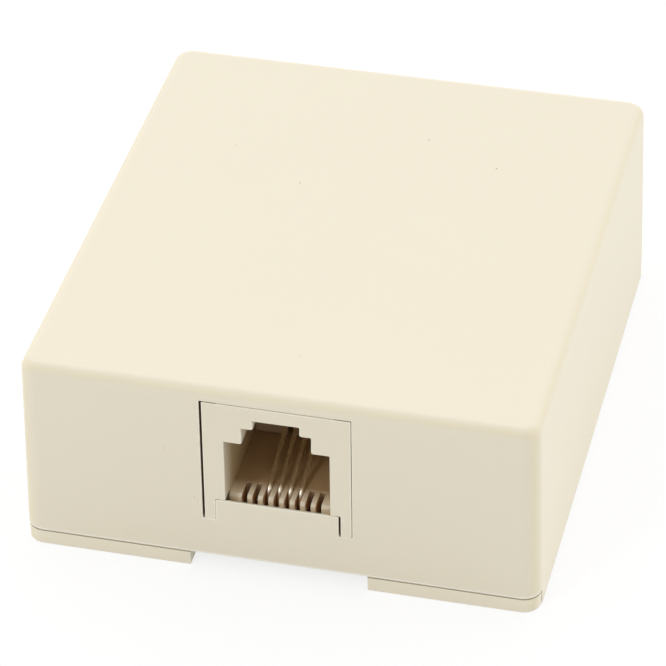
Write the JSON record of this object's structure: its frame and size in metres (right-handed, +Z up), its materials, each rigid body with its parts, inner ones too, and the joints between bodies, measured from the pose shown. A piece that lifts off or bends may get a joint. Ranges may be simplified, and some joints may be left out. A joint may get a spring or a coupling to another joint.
{
  "type": "surface mount jack box",
  "caption": "Low ivory telephone jack box: a lift-off cover carrying a six-position modular socket, over a wall base with screw terminals.",
  "frame": {"origin": "centre of the underside, on the wall or table face", "axes": "+X to the right as seen from the jack face, -Y out of the jack face, +Z up through the cover"},
  "size_m": [0.05, 0.0572, 0.0209],
  "materials": {
    "cover_plastic": "satin moulded ABS, ivory",
    "base_plastic": "satin moulded ABS, ivory",
    "jack_plastic": "satin moulded thermoplastic, ivory",
    "carrier_plastic": "moulded thermoplastic, darker ivory",
    "contact_gold": "gold-plated spring wire",
    "insert_brass": "brass",
    "lug_tin": "tin-plated copper",
    "washer_steel": "zinc-plated",
    "screw_steel": "zinc-plated",
    "lead_black": "extruded PVC",
    "lead_red": "extruded PVC",
    "lead_green": "extruded PVC",
    "lead_yellow": "extruded PVC"
  },
  "bodies": {
    "base": {"base": "base_plastic", "insert_black": "insert_brass", "insert_red": "insert_brass", "insert_green": "insert_brass", "insert_yellow": "insert_brass", "lug_black": "lug_tin", "lug_red": "lug_tin", "lug_green": "lug_tin", "lug_yellow": "lug_tin", "lead_black": "lead_black", "lead_red": "lead_red", "lead_green": "lead_green", "lead_yellow": "lead_yellow"},
    "cover": {"cover": "cover_plastic", "jack_housing": "jack_plastic", "contact_carrier": "carrier_plastic", "jack_rear_cap": "jack_plastic", "contact_black": "contact_gold", "contact_red": "contact_gold", "contact_green": "contact_gold", "contact_yellow": "contact_gold"},
    "washer_black": {"washer_black": "washer_steel"},
    "screw_black": {"screw_black": "screw_steel"},
    "washer_red": {"washer_red": "washer_steel"},
    "screw_red": {"screw_red": "screw_steel"},
    "washer_green": {"washer_green": "washer_steel"},
    "screw_green": {"screw_green": "screw_steel"},
    "washer_yellow": {"washer_yellow": "washer_steel"},
    "screw_yellow": {"screw_yellow": "screw_steel"}
  },
  "joints": [
    {"name": "cover_lift", "type": "slide", "parent": "base", "child": "cover", "axis": [0, 0, 1], "range_m": [0, 0.01], "deforming": ["lead_black", "lead_red", "lead_green", "lead_yellow"]},
    {"name": "screw_rise_black", "type": "slide", "parent": "base", "child": "washer_black", "axis": [0, 0, 1], "range_m": [0, 0.00125]},
    {"name": "screw_turn_black", "type": "hinge", "parent": "washer_black", "child": "screw_black", "pos_m": [-0.0155, -0.002, 0.00495], "axis": [0, 0, 1], "range_deg": [0, 901]},
    {"name": "screw_rise_red", "type": "slide", "parent": "base", "child": "washer_red", "axis": [0, 0, 1], "range_m": [0, 0.00125]},
    {"name": "screw_turn_red", "type": "hinge", "parent": "washer_red", "child": "screw_red", "pos_m": [-0.0155, 0.012, 0.00495], "axis": [0, 0, 1], "range_deg": [0, 901]},
    {"name": "screw_rise_green", "type": "slide", "parent": "base", "child": "washer_green", "axis": [0, 0, 1], "range_m": [0, 0.00125]},
    {"name": "screw_turn_green", "type": "hinge", "parent": "washer_green", "child": "screw_green", "pos_m": [0.0155, 0.012, 0.00495], "axis": [0, 0, 1], "range_deg": [0, 901]},
    {"name": "screw_rise_yellow", "type": "slide", "parent": "base", "child": "washer_yellow", "axis": [0, 0, 1], "range_m": [0, 0.00125]},
    {"name": "screw_turn_yellow", "type": "hinge", "parent": "washer_yellow", "child": "screw_yellow", "pos_m": [0.0155, -0.002, 0.00495], "axis": [0, 0, 1], "range_deg": [0, 901]}
  ],
  "couplings": [
    {"joint": "screw_turn_black", "follows": "screw_rise_black", "rad_per_m": 12566},
    {"joint": "screw_turn_red", "follows": "screw_rise_red", "rad_per_m": 12566},
    {"joint": "screw_turn_green", "follows": "screw_rise_green", "rad_per_m": 12566},
    {"joint": "screw_turn_yellow", "follows": "screw_rise_yellow", "rad_per_m": 12566}
  ]
}
